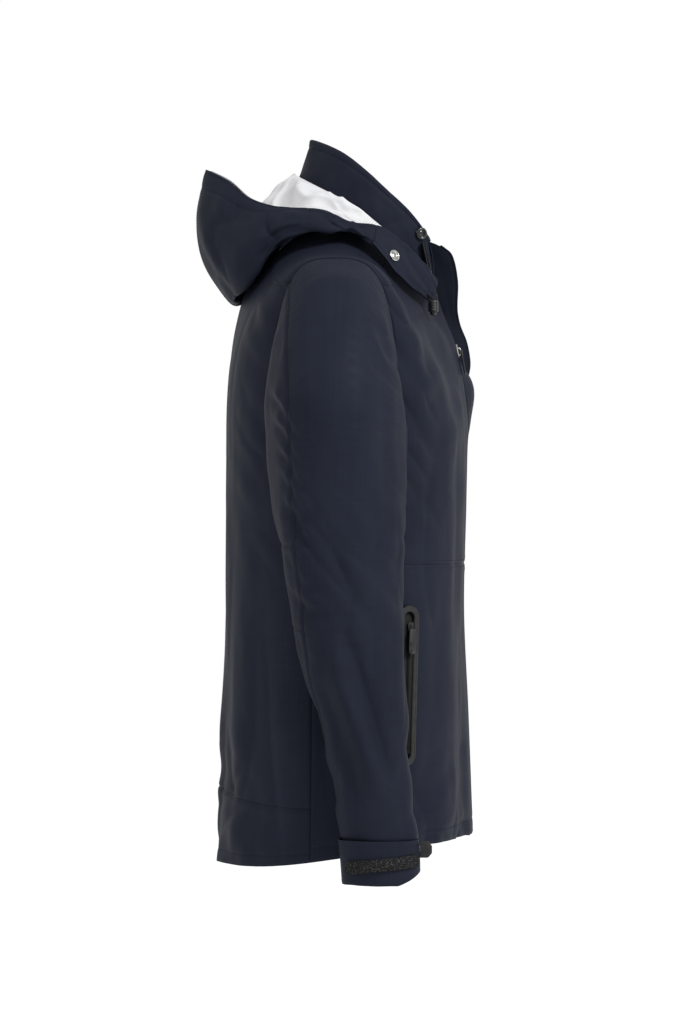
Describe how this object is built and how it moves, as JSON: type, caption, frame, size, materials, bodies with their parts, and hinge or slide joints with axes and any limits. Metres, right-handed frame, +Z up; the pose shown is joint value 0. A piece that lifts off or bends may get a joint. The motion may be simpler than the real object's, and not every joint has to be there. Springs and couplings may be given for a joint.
{
  "type": "foul weather jacket",
  "caption": "Hooded waterproof sailing jacket with stand collar, folded-back hood, part-open front zip, zipped hand pockets, adjustable cuffs and a hanger loop.",
  "frame": {"origin": "underside of the hanger loop, in the middle of the back of the neck", "axes": "+Z up along the body, -Y out of the front of the jacket, -X towards the wearer's right sleeve"},
  "size_m": [0.6394, 0.2944, 0.754],
  "materials": {
    "navy_shell": "matt woven laminate",
    "dark_facing": "brushed knit",
    "white_lining": "fine grid mesh",
    "hook_loop": "hook and loop pile",
    "zip_tape": "woven tape",
    "black_plastic": "moulded, satin",
    "steel": "nickel plated"
  },
  "bodies": {
    "root": {"back_panel": "navy_shell", "back_tail_panel": "navy_shell", "back_lining": "white_lining", "collar_outer": "navy_shell", "collar_facing": "dark_facing", "hanger_loop": "dark_facing", "zip_box": "steel", "storm_flap": "dark_facing", "right_front_panel": "navy_shell", "right_side_panel": "navy_shell", "right_shoulder_yoke": "navy_shell", "right_front_lining": "white_lining", "right_hood_side": "navy_shell", "right_hood_side_lining": "white_lining", "right_collar_snap": "steel", "right_zip_tape": "zip_tape", "right_zip_teeth": "black_plastic", "right_pocket_frame": "black_plastic", "right_pocket_zip": "zip_tape", "right_pocket_bag": "white_lining", "left_front_panel": "navy_shell", "left_side_panel": "navy_shell", "left_shoulder_yoke": "navy_shell", "left_front_lining": "white_lining", "left_hood_side": "navy_shell", "left_hood_side_lining": "white_lining", "left_collar_snap": "steel", "left_zip_tape": "zip_tape", "left_zip_teeth": "black_plastic", "left_pocket_frame": "black_plastic", "left_pocket_zip": "zip_tape", "left_pocket_bag": "white_lining"},
    "hood": {"hood_back_shell": "navy_shell", "hood_back_lining": "white_lining"},
    "main_slider": {"main_slider": "steel"},
    "main_puller": {"main_puller": "black_plastic"},
    "right_hood_flap": {"right_hood_flap": "navy_shell", "right_hood_snap": "steel", "right_cord_lock_barrel": "black_plastic"},
    "right_cord_lock_button": {"right_cord_lock_button": "black_plastic"},
    "right_sleeve": {"right_sleeve_front": "navy_shell", "right_sleeve_back": "navy_shell", "right_cuff_band": "navy_shell", "right_sleeve_lining": "white_lining", "right_cuff_strip": "hook_loop"},
    "right_cuff_tab": {"right_cuff_tab": "black_plastic"},
    "right_pocket_slider": {"right_pocket_slider": "black_plastic"},
    "right_pocket_puller": {"right_pocket_puller": "black_plastic"},
    "left_hood_flap": {"left_hood_flap": "navy_shell", "left_hood_snap": "steel", "left_cord_lock_barrel": "black_plastic"},
    "left_cord_lock_button": {"left_cord_lock_button": "black_plastic"},
    "left_sleeve": {"left_sleeve_front": "navy_shell", "left_sleeve_back": "navy_shell", "left_cuff_band": "navy_shell", "left_sleeve_lining": "white_lining", "left_cuff_strip": "hook_loop"},
    "left_cuff_tab": {"left_cuff_tab": "black_plastic"},
    "left_pocket_slider": {"left_pocket_slider": "black_plastic"},
    "left_pocket_puller": {"left_pocket_puller": "black_plastic"}
  },
  "joints": [
    {"name": "hood_lift", "type": "hinge", "parent": "root", "child": "hood", "pos_m": [0, 0.022, 0.03], "axis": [1, 0, 0], "range_deg": [0, 22]},
    {"name": "main_zip", "type": "slide", "parent": "root", "child": "main_slider", "axis": [0, -0.1623, -0.9867], "range_m": [0, 0.058]},
    {"name": "main_puller_swing", "type": "hinge", "parent": "main_slider", "child": "main_puller", "pos_m": [0, -0.15888, -0.14866], "axis": [-1, 0, 0], "range_deg": [0, 120]},
    {"name": "right_flap_lift", "type": "hinge", "parent": "root", "child": "right_hood_flap", "pos_m": [-0.108, -0.066, -0.028], "axis": [-1, 0, 0], "range_deg": [0, 35]},
    {"name": "right_cord_lock_press", "type": "slide", "parent": "right_hood_flap", "child": "right_cord_lock_button", "axis": [0, 0, 1], "range_m": [0, 0.003], "stiffness_N_per_m": 150, "springref_m": -0.002},
    {"name": "right_sleeve_swing", "type": "hinge", "parent": "root", "child": "right_sleeve", "pos_m": [-0.2006, -0.045, -0.11], "axis": [-1, 0, 0], "range_deg": [-15, 40]},
    {"name": "right_cuff_tab_close", "type": "hinge", "parent": "right_sleeve", "child": "right_cuff_tab", "pos_m": [-0.254, -0.125, -0.651], "axis": [0, 0, -1], "range_deg": [0, 85]},
    {"name": "right_pocket_zip", "type": "slide", "parent": "root", "child": "right_pocket_slider", "axis": [-0.0341, 0.0253, -0.9991], "range_m": [0, 0.112]},
    {"name": "right_pocket_puller_swing", "type": "hinge", "parent": "right_pocket_slider", "child": "right_pocket_puller", "pos_m": [-0.19843, -0.11472, -0.43489], "axis": [-0.6436, 0.7643, 0.0413], "range_deg": [0, 100]},
    {"name": "left_flap_lift", "type": "hinge", "parent": "root", "child": "left_hood_flap", "pos_m": [0.108, -0.066, -0.028], "axis": [-1, 0, 0], "range_deg": [0, 35]},
    {"name": "left_cord_lock_press", "type": "slide", "parent": "left_hood_flap", "child": "left_cord_lock_button", "axis": [0, 0, 1], "range_m": [0, 0.003], "stiffness_N_per_m": 150, "springref_m": -0.002},
    {"name": "left_sleeve_swing", "type": "hinge", "parent": "root", "child": "left_sleeve", "pos_m": [0.2006, -0.045, -0.11], "axis": [-1, 0, 0], "range_deg": [-15, 40]},
    {"name": "left_cuff_tab_close", "type": "hinge", "parent": "left_sleeve", "child": "left_cuff_tab", "pos_m": [0.254, -0.125, -0.651], "axis": [0, 0, 1], "range_deg": [0, 85]},
    {"name": "left_pocket_zip", "type": "slide", "parent": "root", "child": "left_pocket_slider", "axis": [0.0341, 0.0253, -0.9991], "range_m": [0, 0.112]},
    {"name": "left_pocket_puller_swing", "type": "hinge", "parent": "left_pocket_slider", "child": "left_pocket_puller", "pos_m": [0.19843, -0.11472, -0.43489], "axis": [-0.6436, -0.7643, -0.0413], "range_deg": [0, 100]}
  ]
}
